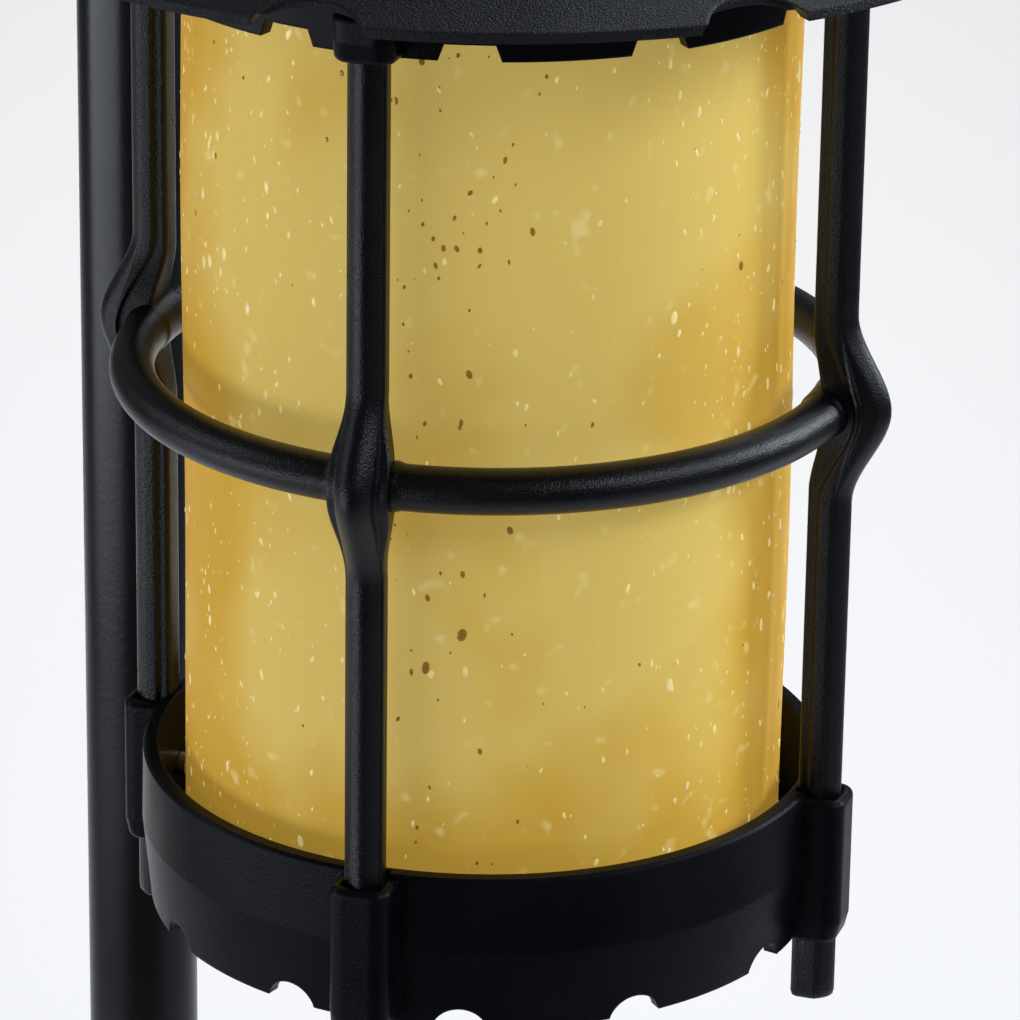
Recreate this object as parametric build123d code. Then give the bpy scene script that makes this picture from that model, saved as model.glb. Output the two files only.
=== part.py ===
import os
from math import atan2, cos, degrees, radians, sin, sqrt

from build123d import *

# A solar tiki torch: a caged amber lantern that hangs by its bail from a crook
# on a push-in ground stake. Millimetres, +Z up. The origin is on the pole's axis
# at ground level, and +X points from the pole towards the lantern.
# Lantern heights are counted from the plane of its guard hoop, then lifted.

# Clearances
running_gap = 0.05
fit_gap = 0.1
seat_gap = 0.3
twist_gap = 0.5

# Ground stake
stake_length = 185
stake_taper_start = 65
fin_width = 30
fin_thickness = 4
step_radius = 27
step_thickness = 4
sleeve_wall = 2.5
sleeve_height = 22
spigot_length = 36

# Pole and crook
pole_radius = 10.5
pole_wall = 1.0
lower_pole_length = 552
joiner_flange = 6
crook_leg = 465
crook_radius = 73
crook_drop = 22

# Hook under the crook's end
plug_depth = 14
plug_flange = 5
hook_wire_radius = 2
hook_radius = 8
hook_bend_radius = 6
hook_neck = 10
hook_tip_angle = 40
hook_flange_radius = 4
hook_flange_thickness = 1.5

# Bail
bail_wire_radius = 2
bail_half_width = 46
bail_bend_radius = 4
bail_leg = 8
bail_pin_length = 4

# Glass cylinder and what seats it
glass_radius = 50
glass_wall = 3
glass_length = 161.2
seat_ring_thickness = 1.5
seat_ring_overlap = 0.8
seat_ring_lip = 1.0
top_ring_seal_height = 1.8
hoop_above_floor = 88

# Base ring, its floor and its feet
ring_clearance = 4.4
ring_wall = 2.5
band_height = 26.7
band_rim_above_floor = 21.3
band_crease_drop = 13
band_crease_bulge = 0.2
band_foot_inset = 1.2
band_taper_height = 7.4
band_rim_chamfer = 0.5
arch_radius = 4.6
arch_centre_drop = 1.1
floor_thickness = 2.5
floor_gap = 0.4
drain_radius = 2.5
drain_circle = 30
drain_count = 6
ledge_width = 9
ledge_depth = 6
ledge_thickness = 2.2
foot_drop = 10.8

# Sockets that hold the cage bars
socket_width = 10
socket_wall = 1.2
socket_round = 2.8
socket_end_round = 1.2
socket_taper = 0.8
socket_taper_height = 3.4
socket_lift = 0.3
socket_rim_drop = 0.8
upper_socket_height = 7.9

# Cage bars
bar_count = 4
first_bar_angle = 45
bar_width = 6.4
bar_depth = 4.9
bar_bevel = 0.6
bar_crown = 0.35
web_width = 5.0
web_depth = 2.0
web_recess = 2.0
web_bite = 0.6
bar_inset = 1.6
jog_height = 16
saddle_wall = 1.5
saddle_half_width = 5.0
saddle_half_height = 3.0
saddle_taper_height = 14
bar_end_gap = 0.5

# Guard hoop
hoop_tube_radius = 3.7

# Collar at the top of the cage
collar_skirt = 6.3
collar_lip_thickness = 1.6
collar_lip_reach = 1.0
collar_rim_height = 1.6
notch_bottom_width = 9.7
notch_top_width = 7.8
notch_height = 2.6
notch_count = 12

# Bayonet between the collar and the lamp tray
lug_count = 3
lug_half_angle = 6
lug_overlap = 1.8
lug_slack_angle = 0.6
lug_slack_height = 0.2
twist_angle = 20

# Lamp tray and roof
tray_thickness = 2.5
roof_overhang = 23
roof_wall = 2.5
roof_lift = 5.6
eave_height = 1.6
roof_rise = 17.8
roof_top_radius = 46
roof_hips = 8
hip_start = 6
hip_half_angle = 11.25
hip_point_angle = 0.4
scallop_half_width = 7.6
scallop_height = 2.3
scallop_rim = 1.3
scallop_angle = 6
turret_radius = 38
turret_height = 10
boss_radius = 3.6
boss_circle = 41
boss_count = 3
boss_start = 45
tray_screw_reach = 10
ear_width = 9
ear_reach = 3.8
ear_height_above_deck = 4
ear_crown = 3.6
ear_skin = 0.5

# Solar panel lid
seal_thickness = 0.8
lid_thickness = 3.4
panel_side = 50
panel_thickness = 2.4
panel_gap = 0.3
lid_post_radius = 4
lid_post_circle = 32
lid_post_height = 9
lid_screw_count = 4
lid_screw_reach = 6
lid_turn = 45
lid_chamfer = 1.0
panel_chamfer = 0.4
lead_hole_radius = 3

# Battery and control board
cell_radius = 7.1
cell_length = 49
cell_nub_radius = 2.75
cell_nub_length = 1.4
holder_wall = 1.5
holder_side_height = 9
holder_end_height = 18
contact_thickness = 0.5
spring_length = 4
spring_coils = 3
spring_wire_radius = 0.35
spring_radius = 3.2
board_length = 60
board_width = 24
board_thickness = 1.6
chip_height = 1.2
chip_length = 9
chip_width = 6
chip_place = -12
coil_radius = 3
coil_place = (4, 5)
capacitor_radius = 2.5
capacitor_place = (14, -4)

# Flame lamp
column_radius = 13
column_wall = 1.5
column_length = 68
column_flange_thickness = 2
column_screw_count = 3
column_screw_start = 30
led_sheet_thickness = 0.6
led_sheet_margin = 5
led_rows = 6
led_columns = 12
led_side = 2.2
led_height = 0.9
diffuser_radius = 24
diffuser_wall = 1.2
diffuser_length = 75
diffuser_floor = 1.5

# Switch
button_radius = 4
button_circle = 35
button_stand = 2
button_travel = 1.5
button_flange_radius = 5
button_flange_thickness = 1.6
switch_side = 14
switch_height = 8

# Screws: shank radius and head size
small_shank = 1.1
small_head_radius = 2.0
small_head_height = 1.3
large_shank = 1.5
large_head_radius = 2.8
large_head_height = 1.8
screw_slack = 0.05
blind_hole_depth = 2.0
blind_screw_depth = 1.75
driver_slot_width = 0.6
driver_slot_depth = 0.6

# Radii that follow from the glass
band_inner = glass_radius + ring_clearance
band_outer = band_inner + ring_wall
hoop_radius = band_inner + hoop_tube_radius
web_inner = band_outer - bar_inset
bar_inner = web_inner + web_depth
bar_outer = bar_inner + bar_depth
jog = hoop_radius + hoop_tube_radius + saddle_wall - bar_inner
socket_outer = bar_outer + fit_gap + socket_wall
roof_radius = socket_outer + roof_overhang

# Heights in the lantern, from its floor to its lid
floor_top = -hoop_above_floor
floor_bottom = floor_top - floor_thickness
band_rim = floor_top + band_rim_above_floor
band_bottom = band_rim - band_height
bar_bottom = band_bottom - foot_drop
glass_bottom = floor_top + seat_ring_thickness
glass_top = glass_bottom + glass_length
lip_bottom = glass_top + seat_gap
lip_top = lip_bottom + collar_lip_thickness
collar_bottom = lip_bottom - collar_skirt
upper_socket_top = collar_bottom + upper_socket_height
bar_top = upper_socket_top - bar_end_gap
tray_bottom = lip_top + seat_gap
tray_top = tray_bottom + tray_thickness
collar_top = tray_top + lug_slack_height + collar_rim_height
eave_bottom = lip_bottom + roof_lift
eave_top = eave_bottom + eave_height
deck = eave_top + roof_rise
turret_top = deck + turret_height
lid_bottom = turret_top + seal_thickness
lid_top = lid_bottom + lid_thickness
ear_axis = deck + ear_height_above_deck

# Screw places
bar_screw_low = band_rim - band_crease_drop
bar_screw_high = collar_bottom + small_head_radius
bar_screw_tip = bar_inner + bar_depth / 2
floor_screw_circle = band_inner - band_foot_inset - seat_gap - small_head_radius
tray_screw_tip = tray_top + tray_screw_reach
lid_screw_tip = turret_top - lid_screw_reach
column_screw_circle = (column_radius + diffuser_radius - diffuser_wall) / 2

# Slope of the roof
roof_run = roof_radius - roof_top_radius
roof_slant = roof_run / roof_rise
side_offset = roof_wall * sqrt(1 + roof_slant ** 2)

# Battery and lamp sheet
cell_axis = tray_top + holder_wall + cell_radius
cell_shift = spring_length / 2
cell_half = cell_length / 2
holder_inner_half = cell_half + spring_length / 2 + contact_thickness + fit_gap
led_sheet_inner = column_radius + running_gap
led_sheet_outer = led_sheet_inner + led_sheet_thickness
led_sheet_low = tray_bottom - column_length + led_sheet_margin
led_sheet_high = tray_bottom - column_flange_thickness - led_sheet_margin

# Bail and hook heights, then the lift from lantern heights to the ground's
bail_arch_base = ear_axis + bail_bend_radius + bail_leg
bail_top = bail_arch_base + bail_half_width
hook_centre = bail_top + hook_radius - hook_wire_radius - bail_wire_radius - seat_gap
hook_bend_rise = sqrt(hook_radius ** 2 + 2 * hook_radius * hook_bend_radius)
plug_bottom = hook_centre + hook_bend_rise + hook_neck
reach = 2 * crook_radius
pole_inner = pole_radius - pole_wall
lower_pole_top = step_thickness + lower_pole_length
crook_foot = lower_pole_top + joiner_flange
crook_centre = crook_foot + crook_leg
crook_end = crook_centre - crook_drop
lantern_lift = crook_end - plug_flange - plug_bottom

bar_angles = [first_bar_angle + 360 / bar_count * i for i in range(bar_count)]
hip_angles = [hip_start + 360 / roof_hips * i for i in range(roof_hips)]


def save(shape, name):
    """Write one named sub-part."""
    export_step(shape, f"parts/{name}.step")


def lifted(shape):
    """Move a shape from lantern heights to its place under the crook."""
    return Pos(reach, 0, lantern_lift) * shape


def disc(radius, low, high):
    """An upright cylinder between two heights."""
    return Pos(0, 0, low) * Cylinder(radius, high - low, align=(Align.CENTER, Align.CENTER, Align.MIN))


def tube(outer, inner, low, high):
    """An upright tube between two heights."""
    return disc(outer, low, high) - disc(inner, low - 1, high + 1)


def block(size_x, size_y, low, high):
    """A box centred on the axis between two heights."""
    return Pos(0, 0, low) * Box(size_x, size_y, high - low, align=(Align.CENTER, Align.CENTER, Align.MIN))


def span_block(x_low, x_high, size_y, low, high):
    """A box between two X positions, centred on Y."""
    return Pos((x_low + x_high) / 2, 0, 0) * block(x_high - x_low, size_y, low, high)


def around(shape, angles):
    """Copies of a shape turned to each angle about the upright axis."""
    return [Rot(0, 0, angle) * shape for angle in angles]


def evenly(count, start=0.0):
    """Angles of a regular pattern."""
    return [start + 360 / count * i for i in range(count)]


def sector(inner, outer, low, high, start, stop):
    """A slice of a tube between two angles."""
    outline = Plane.XZ * Pos((inner + outer) / 2, (low + high) / 2) * Rectangle(outer - inner, high - low)
    return Rot(0, 0, start) * revolve(outline, Axis.Z, stop - start)


def radial_rod(radius, inner, outer, height):
    """A rod that points outward along +X."""
    rod = Cylinder(radius, outer - inner, align=(Align.CENTER, Align.CENTER, Align.MIN))
    return Pos(inner, 0, height) * Rot(0, 90, 0) * rod


def ring_from_profile(points):
    """A solid of revolution about the upright axis from radius-height points."""
    outline = make_face(Plane.XZ * Polyline(*points, close=True))
    return revolve(outline, Axis.Z)


def screw(shank, head_radius, head_height, length):
    """A screw that points up: its head's seat is at height zero."""
    body = disc(shank, 0, length) + disc(head_radius, -head_height, 0)
    slot = block(2 * head_radius + 1, driver_slot_width, -head_height - 1, driver_slot_depth - head_height)
    return body - slot


# Ground stake, poles and crook

def make_ground_stake():
    """Cross-finned spike with a foot step, a sleeve and a spigot for the pole."""
    half = fin_width / 2
    tip = fin_thickness / 2
    side = [(-half, 0), (half, 0), (half, -stake_taper_start), (tip, -stake_length), (-tip, -stake_length),
            (-half, -stake_taper_start)]
    fin = extrude(make_face(Plane.XZ * Polyline(*side, close=True)), fin_thickness / 2, both=True)
    stake = fin + Rot(0, 0, 90) * fin
    stake += disc(step_radius, 0, step_thickness)
    stake += tube(pole_radius + fit_gap + sleeve_wall, pole_radius + fit_gap, step_thickness,
                  step_thickness + sleeve_height)
    stake += disc(pole_inner - fit_gap, step_thickness, step_thickness + spigot_length)
    return stake


def make_lower_pole():
    """Straight tube that stands on the stake's step."""
    return tube(pole_radius, pole_inner, step_thickness, lower_pole_top)


def make_pole_joiner():
    """Plug between the two tubes; the crook turns on its upper spigot."""
    joiner = disc(pole_radius, lower_pole_top, crook_foot)
    joiner += disc(pole_inner - fit_gap, lower_pole_top - spigot_length, lower_pole_top)
    joiner += disc(pole_inner - running_gap, crook_foot, crook_foot + spigot_length)
    return joiner


def make_crook_tube():
    """Upright tube bent through a half circle to hang over the lantern."""
    foot = Vector(0, 0, crook_foot)
    start = Vector(0, 0, crook_centre)
    top = Vector(crook_radius, 0, crook_centre + crook_radius)
    end = Vector(reach, 0, crook_centre)
    tail = Vector(reach, 0, crook_end)
    path = Wire([Line(foot, start).edge(), ThreePointArc(start, top, end).edge(), Line(end, tail).edge()])
    section = Circle(pole_radius) - Circle(pole_inner)
    return sweep(Pos(0, 0, crook_foot) * section, path=path)


def make_crook_end_plug():
    """Plug that closes the crook's end and holds the hook's shank."""
    plug = disc(pole_radius, crook_end - plug_flange, crook_end)
    plug += disc(pole_inner - fit_gap, crook_end, crook_end + plug_depth)
    plug -= disc(hook_wire_radius + screw_slack, crook_end - plug_flange - 1, crook_end + plug_depth / 2)
    return Pos(reach, 0, 0) * plug


def on_circle(centre_y, centre_z, radius, angle):
    """A point of a circle in the YZ plane."""
    return Vector(0, centre_y + radius * cos(radians(angle)), centre_z + radius * sin(radians(angle)))


def make_hanging_hook():
    """Open wire hook whose shank lies on the lantern's axis."""
    shank_top = plug_bottom + plug_flange + plug_depth / 2
    bend_z = hook_centre + hook_bend_rise
    join = degrees(atan2(hook_bend_rise, -hook_bend_radius))
    bend_turn = join - 180
    bend = ThreePointArc(
        Vector(0, 0, bend_z),
        on_circle(-hook_bend_radius, bend_z, hook_bend_radius, bend_turn / 2),
        on_circle(-hook_bend_radius, bend_z, hook_bend_radius, bend_turn),
    )
    tip = 360 + hook_tip_angle
    bowl = ThreePointArc(
        on_circle(0, hook_centre, hook_radius, join),
        on_circle(0, hook_centre, hook_radius, (join + tip) / 2),
        on_circle(0, hook_centre, hook_radius, tip),
    )
    path = Wire([Line(Vector(0, 0, shank_top), Vector(0, 0, bend_z)).edge(), bend.edge(), bowl.edge()])
    section = Plane(origin=(0, 0, shank_top), z_dir=(0, 0, -1)) * Circle(hook_wire_radius)
    hook = sweep(section, path=path)
    hook += disc(hook_flange_radius, plug_bottom - hook_flange_thickness, plug_bottom)
    return hook


def make_bail():
    """Wire handle: two inward pins, two bends, two legs and a half-circle arch."""
    pin_end = bail_half_width - bail_bend_radius
    low = ear_axis
    bend_centre_z = ear_axis + bail_bend_radius
    bend_mid = bail_bend_radius * sqrt(0.5)

    def side(sign):
        return [
            Vector(sign * (pin_end - bail_pin_length), 0, low),
            Vector(sign * pin_end, 0, low),
            Vector(sign * (pin_end + bend_mid), 0, bend_centre_z - bend_mid),
            Vector(sign * bail_half_width, 0, bend_centre_z),
            Vector(sign * bail_half_width, 0, bail_arch_base),
        ]

    left = side(-1)
    right = side(1)
    path = Wire([
        Line(left[0], left[1]).edge(),
        ThreePointArc(left[1], left[2], left[3]).edge(),
        Line(left[3], left[4]).edge(),
        ThreePointArc(left[4], Vector(0, 0, bail_top), right[4]).edge(),
        Line(right[4], right[3]).edge(),
        ThreePointArc(right[3], right[2], right[1]).edge(),
        Line(right[1], right[0]).edge(),
    ])
    section = Plane(origin=left[0], z_dir=(-1, 0, 0)) * Circle(bail_wire_radius)
    return sweep(section, path=path)


# Cage: bars, hoop, base ring and collar

def s_curve(offset, sign):
    """Two tangent arcs that carry a line from the straight bar out to the jog."""
    turn = 2 * atan2(jog, jog_height)
    bend = jog_height / (2 * sin(turn))
    near = bend * (1 - cos(turn / 2))
    rise = bend * sin(turn / 2)

    def point(out, height):
        return Vector(bar_inner + offset + out, 0, sign * height)

    straight_end = point(0, jog_height)
    middle = point(jog / 2, jog_height / 2)
    peak = point(jog, 0)
    lower = ThreePointArc(straight_end, point(near, jog_height - rise), middle)
    upper = ThreePointArc(middle, point(jog - near, rise), peak)
    return straight_end, lower.edge(), upper.edge()


def bar_path(offset):
    """The line that a bar follows, from its foot to its top."""
    low_end, low_first, low_second = s_curve(offset, -1)
    high_end, high_first, high_second = s_curve(offset, 1)
    foot = Vector(bar_inner + offset, 0, bar_bottom)
    head = Vector(bar_inner + offset, 0, bar_top)
    return [Line(foot, low_end).edge(), low_first, low_second, high_second, high_first, Line(high_end, head).edge()]


def bar_section(slack):
    """Gabled outline of a bar: width across, depth outward."""
    half = bar_width / 2 + slack
    corner = bar_bevel / 3
    return [
        (-half + corner, -slack), (half - corner, -slack), (half, corner - slack),
        (half, bar_depth - bar_bevel - bar_crown + slack), (half - bar_bevel, bar_depth - bar_crown + slack),
        (0, bar_depth + slack), (bar_bevel - half, bar_depth - bar_crown + slack),
        (-half, bar_depth - bar_bevel - bar_crown + slack), (-half, corner - slack),
    ]


def make_hoop_cut(slack):
    """The room that the hoop takes in the bars."""
    return Torus(hoop_radius, hoop_tube_radius + slack)


def make_saddle():
    """Swelling of a bar where the hoop passes through it; it follows the bar's jog."""
    half = bar_width / 2
    outline = [
        (-half, -saddle_taper_height), (half, -saddle_taper_height),
        (saddle_half_width, -saddle_half_height), (saddle_half_width, saddle_half_height),
        (half, saddle_taper_height), (-half, saddle_taper_height),
        (-saddle_half_width, saddle_half_height), (-saddle_half_width, -saddle_half_height),
    ]
    start = bar_inner - web_bite
    stop = bar_inner + jog + bar_depth
    front = Pos(start, 0, 0) * extrude(make_face(Plane.YZ * Polyline(*outline, close=True)), stop - start)
    inner_line = bar_path(0)
    outer_line = bar_path(bar_depth - bar_crown - bar_bevel / 2)
    foot = Line(outer_line[0] @ 0, inner_line[0] @ 0).edge()
    head = Line(inner_line[-1] @ 1, outer_line[-1] @ 1).edge()
    side = make_face(inner_line + [head] + outer_line + [foot])
    return front & extrude(side, saddle_half_width + 1, both=True)


def make_bar():
    """Cage bar on +X: a gabled bar that jogs round the hoop, with a web behind it."""
    outline = Plane(origin=(bar_inner, 0, bar_bottom), x_dir=(0, -1, 0), z_dir=(0, 0, 1))
    section = make_face(outline * Polyline(*bar_section(0), close=True))
    bar = sweep(section, path=Wire(bar_path(0)))
    inner_side = [
        Vector(bar_inner + web_bite, 0, bar_top), Vector(web_inner, 0, bar_top),
        Vector(web_inner, 0, saddle_taper_height), Vector(web_inner + web_recess, 0, saddle_half_height),
        Vector(web_inner + web_recess, 0, -saddle_half_height), Vector(web_inner, 0, -saddle_taper_height),
        Vector(web_inner, 0, bar_bottom), Vector(bar_inner + web_bite, 0, bar_bottom),
    ]
    edges = bar_path(web_bite) + [Line(a, b).edge() for a, b in zip(inner_side, inner_side[1:])]
    web = extrude(make_face(edges), web_width / 2, both=True)
    bar = bar + web + make_saddle()
    bar -= make_hoop_cut(fit_gap)
    for height in (bar_screw_low, bar_screw_high):
        bar -= radial_rod(small_shank + screw_slack, web_inner - 1, bar_screw_tip, height)
    return bar


def make_bar_channel(low, high):
    """The passage for a bar through a socket."""
    web = span_block(web_inner - fit_gap, bar_inner + web_bite, bar_width + 2 * fit_gap, low, high)
    section = Plane(origin=(bar_inner, 0, low), x_dir=(0, -1, 0), z_dir=(0, 0, 1))
    bar = extrude(make_face(section * Polyline(*bar_section(fit_gap), close=True)), high - low)
    return web + bar


def make_socket(low, high):
    """Rounded box that stands on a ring round one bar; its outer face leans in near the foot."""
    inner = band_inner + fit_gap + socket_wall
    profile = Polyline(
        (inner, low), (socket_outer - socket_taper, low), (socket_outer, low + socket_taper_height),
        (socket_outer, high), (inner, high), close=True,
    )
    socket = extrude(make_face(Plane.XZ * profile), socket_width / 2, both=True)
    upright = [edge for edge in socket.edges() if edge.center().X > band_outer and edge.bounding_box().size.Z > socket_end_round]
    socket = fillet(upright, socket_round)
    level = [edge for edge in socket.edges() if edge.center().X > band_outer and edge.bounding_box().size.Z < running_gap]
    ends = [edge for edge in level if min(edge.center().Z - low, high - edge.center().Z) < running_gap]
    return fillet(ends, socket_end_round)


def make_base_ring():
    """Creased band with arched lower edge, four bar sockets and floor ledges."""
    taper_start = band_bottom + band_taper_height
    crease = band_rim - band_crease_drop
    band = ring_from_profile([
        (band_inner, band_rim), (band_outer - band_rim_chamfer, band_rim), (band_outer, band_rim - band_rim_chamfer),
        (band_outer + band_crease_bulge, crease), (band_outer - band_foot_inset, band_bottom),
        (band_inner - band_foot_inset, band_bottom), (band_inner, taper_start),
    ])
    arch = radial_rod(arch_radius, band_inner - 2 * ring_wall, socket_outer, band_bottom - arch_centre_drop)
    for cut in around(arch, evenly(notch_count)):
        band -= cut
    socket = make_socket(band_bottom + socket_lift, band_rim - socket_rim_drop)
    ledge_outer = band_inner - band_foot_inset + ring_wall / 2
    ledge = span_block(band_inner - ledge_depth, ledge_outer, ledge_width, floor_bottom - ledge_thickness,
                       floor_bottom)
    for part in around(socket + ledge, bar_angles):
        band += part
    channel = make_bar_channel(bar_bottom, band_rim + 1)
    hole = radial_rod(small_shank + screw_slack, band_inner - 1, web_inner, bar_screw_low)
    floor_hole = Pos(floor_screw_circle, 0, 0) * disc(small_shank + screw_slack, floor_bottom - ledge_thickness - 1,
                                                      floor_bottom + 1)
    for cut in around(channel + hole, bar_angles) + around(floor_hole, bar_angles):
        band -= cut
    return band


def make_base_floor():
    """Round plate that carries the glass, with drain holes."""
    plate = disc(band_inner - band_foot_inset, floor_bottom, floor_top)
    for cut in around(Pos(drain_circle, 0, 0) * disc(drain_radius, floor_bottom - 1, floor_top + 1), evenly(drain_count)):
        plate -= cut
    blind = Pos(floor_screw_circle, 0, 0) * disc(small_shank + screw_slack, floor_bottom - 1,
                                                 floor_bottom + blind_hole_depth)
    for cut in around(blind, bar_angles):
        plate -= cut
    return plate


def make_top_ring():
    """Notched collar with bar sockets, an inner lip and bayonet windows."""
    collar = tube(band_outer, band_inner, collar_bottom, collar_top)
    collar += tube(band_inner + ring_wall / 2, glass_radius - collar_lip_reach, lip_bottom, lip_top)
    half_low = notch_bottom_width / 2
    half_high = notch_top_width / 2
    outline = [(-half_low, collar_bottom - 1), (half_low, collar_bottom - 1), (half_low, collar_bottom),
               (half_high, collar_bottom + notch_height), (-half_high, collar_bottom + notch_height),
               (-half_low, collar_bottom)]
    notch = extrude(make_face(Plane.YZ * Polyline(*outline, close=True)), band_outer + 1)
    notch &= tube(band_outer + 2, band_inner - 1, collar_bottom - 2, lip_bottom)
    for cut in around(notch, evenly(notch_count)):
        collar -= cut
    socket = make_socket(collar_bottom, upper_socket_top)
    for part in around(socket, bar_angles):
        collar += part
    channel = make_bar_channel(collar_bottom - 1, bar_top + fit_gap)
    hole = radial_rod(small_shank + screw_slack, band_inner - 1, web_inner, bar_screw_high)
    for cut in around(channel + hole, bar_angles):
        collar -= cut
    window_low = tray_bottom - lug_slack_height
    window_high = tray_top + lug_slack_height
    start = -lug_half_angle - lug_slack_angle - twist_angle
    window = sector(band_inner - 1, band_outer + 1, window_low, window_high, start,
                    lug_half_angle + lug_slack_angle)
    gate = sector(band_inner - 1, band_outer + 1, window_low, collar_top + 1, start,
                  start + 2 * (lug_half_angle + lug_slack_angle))
    for cut in around(window + gate, evenly(lug_count)):
        collar -= cut
    return collar


def make_bar_screws():
    """Screws from inside each ring into the bars."""
    seat = sqrt((band_inner - running_gap) ** 2 - small_head_radius ** 2)
    length = bar_screw_tip - running_gap - seat
    pin = Rot(0, 90, 0) * screw(small_shank, small_head_radius, small_head_height, length)
    screws = []
    for height in (bar_screw_low, bar_screw_high):
        screws += around(Pos(seat, 0, height) * pin, bar_angles)
    return Compound(screws)


def make_floor_screws():
    """Screws from below through the ledges into the floor."""
    length = ledge_thickness + blind_screw_depth
    pin = screw(small_shank, small_head_radius, small_head_height, length)
    seat = Pos(floor_screw_circle, 0, floor_bottom - ledge_thickness) * pin
    return Compound(around(seat, bar_angles))


# Lamp head: roof, tray, lid and what they hold

def roof_corners(radius, height, half_angle):
    """Two corners beside each hip, in order round the roof, with the first one repeated."""
    angles = []
    for angle in hip_angles:
        angles += [angle - half_angle, angle + half_angle]
    angles.append(angles[0] + 360)
    return [Vector(radius * cos(radians(angle)), radius * sin(radians(angle)), height) for angle in angles]


def roof_round(radius, height, half_angle):
    """The corners joined by arcs of one circle."""
    edges = []
    corners = roof_corners(radius, height, half_angle)
    for start, stop in zip(corners, corners[1:]):
        middle = (start + stop) / 2
        swell = radius / sqrt(middle.X ** 2 + middle.Y ** 2)
        edges.append(ThreePointArc(start, Vector(middle.X * swell, middle.Y * swell, height), stop).edge())
    return make_face(edges)


def roof_polygon(radius, height, half_angle):
    """The corners joined by straight sides."""
    return make_face(Polyline(*roof_corners(radius, height, half_angle)[:-1], close=True))


def roof_cone(radius, low, top_radius, high):
    """Twelve-sided cone that melts into a circle at its foot."""
    foot = roof_round(radius, low, hip_point_angle)
    top = roof_polygon(top_radius, high, hip_half_angle)
    return loft([foot, top], ruled=True)


def make_roof_shell():
    """Roof with six hips, scalloped eave, turret, bail ears and inner posts."""
    eave = extrude(roof_round(roof_radius, eave_top, hip_point_angle), eave_height, dir=(0, 0, -1))
    shell = eave + roof_cone(roof_radius, eave_top, roof_top_radius, deck)
    shell += disc(turret_radius, deck - ear_skin, turret_top)
    ear_outer = bail_half_width - bail_bend_radius - seat_gap + fit_gap
    for sign in (-1, 1):
        low_x, high_x = sorted((sign * (turret_radius - roof_wall), sign * ear_outer))
        ear = span_block(low_x, high_x, ear_width, deck - ear_skin, ear_axis)
        crown = Rot(0, 90, 0) * Cylinder(ear_width / 2, high_x - low_x)
        shell += ear + Pos((low_x + high_x) / 2, 0, ear_axis) * crown
    hollow_foot = eave_bottom - seat_gap
    foot_radius = roof_radius - side_offset + (eave_top - hollow_foot) * roof_slant
    top_radius = roof_top_radius - side_offset + roof_wall * roof_slant
    shell -= roof_cone(foot_radius, hollow_foot, top_radius, deck - roof_wall)
    shell -= disc(turret_radius - roof_wall, deck - roof_wall - 1, turret_top + 1)
    boss = Pos(boss_circle, 0, 0) * disc(boss_radius, tray_top, deck - roof_wall / 2)
    for part in around(boss, evenly(boss_count, boss_start)):
        shell += part
    post = Pos(lid_post_circle, 0, 0) * disc(lid_post_radius, turret_top - lid_post_height, turret_top)
    post &= disc(turret_radius - roof_wall / 2, deck - turret_height, turret_top)
    for part in around(post, evenly(lid_screw_count, lid_turn)):
        shell += part
    for sign in (-1, 1):
        pin_tip = bail_half_width - bail_bend_radius - bail_pin_length - seat_gap
        hole = Rot(0, 90, 0) * Cylinder(bail_wire_radius + running_gap, ear_outer + 1 - pin_tip)
        shell -= Pos(sign * (pin_tip + ear_outer + 1) / 2, 0, ear_axis) * hole
    scallop_depth = side_offset + (scallop_height + eave_height) * roof_slant
    rim_depth = (scallop_height + scallop_rim - eave_height) * roof_slant
    scallop = extrude(Plane.YZ * Ellipse(scallop_half_width, scallop_height), scallop_depth + 1)
    rim = extrude(Plane.YZ * Ellipse(scallop_half_width + scallop_rim, scallop_height + scallop_rim), rim_depth + 1)
    scallop = Pos(-scallop_depth, 0, 0) * scallop + Pos(-rim_depth, 0, 0) * rim
    scallop = Pos(roof_radius, 0, eave_bottom) * scallop
    for cut in around(scallop, [angle - scallop_angle for angle in hip_angles]):
        shell -= cut
    screw_hole = Pos(boss_circle, 0, 0) * disc(large_shank + screw_slack, tray_top - 1, tray_screw_tip + seat_gap)
    lid_hole = Pos(lid_post_circle, 0, 0) * disc(small_shank + screw_slack, lid_screw_tip - seat_gap, turret_top + 1)
    for cut in around(screw_hole, evenly(boss_count, boss_start)) + around(lid_hole, evenly(lid_screw_count, lid_turn)):
        shell -= cut
    return shell


def make_module_tray():
    """Tray that closes the head and locks into the collar with three lugs."""
    tray = disc(band_inner - twist_gap, tray_bottom, tray_top)
    lug = sector(band_inner - twist_gap - 1, band_inner + lug_overlap, tray_bottom, tray_top, -lug_half_angle,
                 lug_half_angle)
    for part in around(lug, evenly(lug_count)):
        tray += part
    tray -= Pos(0, -button_circle, 0) * disc(button_radius + fit_gap, tray_bottom - 1, tray_top + 1)
    hole = Pos(boss_circle, 0, 0) * disc(large_shank + screw_slack, tray_bottom - 1, tray_top + 1)
    for cut in around(hole, evenly(boss_count, boss_start)):
        tray -= cut
    blind = Pos(column_screw_circle, 0, 0) * disc(small_shank + screw_slack, tray_bottom - 1,
                                                  tray_bottom + blind_hole_depth)
    for cut in around(blind, evenly(column_screw_count, column_screw_start)):
        tray -= cut
    return tray


def make_tray_screws():
    """Screws from below through the tray into the roof's posts."""
    pin = screw(large_shank, large_head_radius, large_head_height, tray_screw_tip - tray_bottom)
    return Compound(around(Pos(boss_circle, 0, tray_bottom) * pin, evenly(boss_count, boss_start)))


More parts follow.
